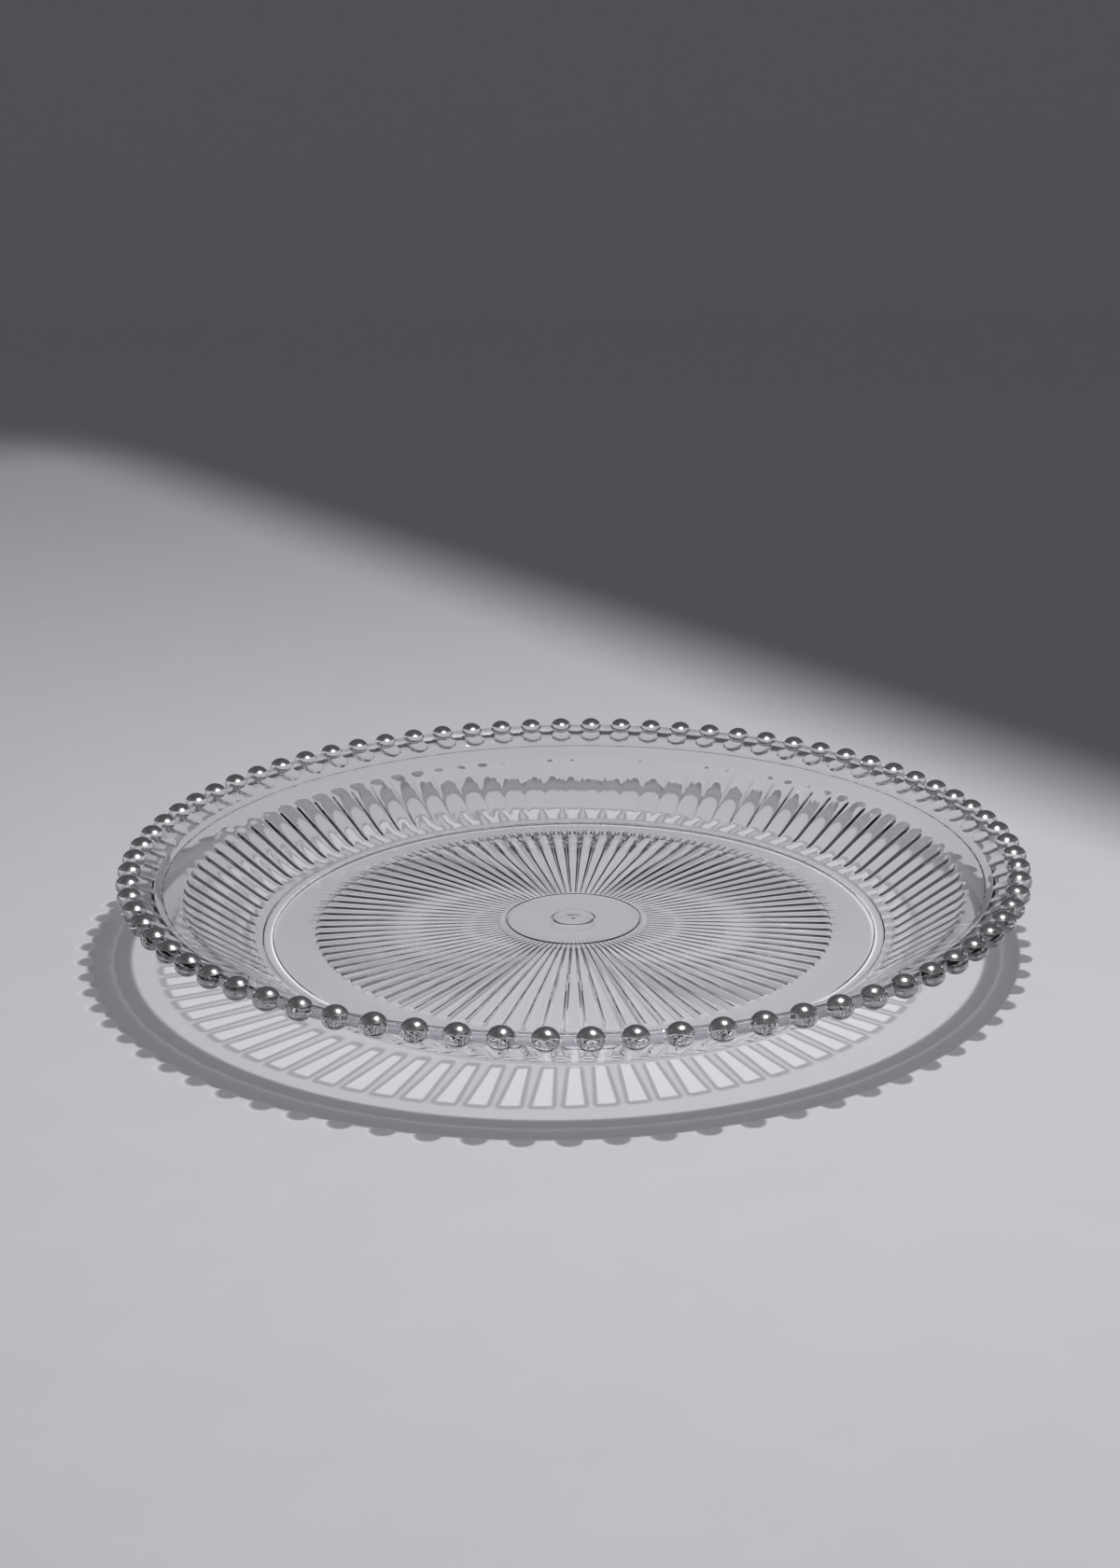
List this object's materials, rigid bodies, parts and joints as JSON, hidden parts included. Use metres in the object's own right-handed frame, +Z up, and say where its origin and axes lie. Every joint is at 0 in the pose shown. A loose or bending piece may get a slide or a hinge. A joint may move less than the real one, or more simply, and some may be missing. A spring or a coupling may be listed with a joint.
{
  "type": "charger plate",
  "caption": "Round clear glass charger plate with a sunburst well, a fluted sloping wall and a beaded rim with silvered bead tops; it stands under a dinner plate.",
  "frame": {"origin": "on the plate's axis, at the table that the foot ring stands on", "axes": "+Z up along the plate's axis, -Y towards the camera of the picture, +X to its right"},
  "size_m": [0.3298, 0.3298, 0.0344],
  "materials": {
    "clear_glass": "clear, fire polished",
    "silver_finish": "bright silver coating on the bead tops"
  },
  "bodies": {
    "root": {"centre_button": "clear_glass", "centre_disc": "clear_glass", "sunburst_panel": "clear_glass", "well_ring": "clear_glass", "foot_ring": "clear_glass", "fluted_wall": "clear_glass", "rim_flange": "clear_glass", "bead_rim": "clear_glass"}
  },
  "joints": []
}
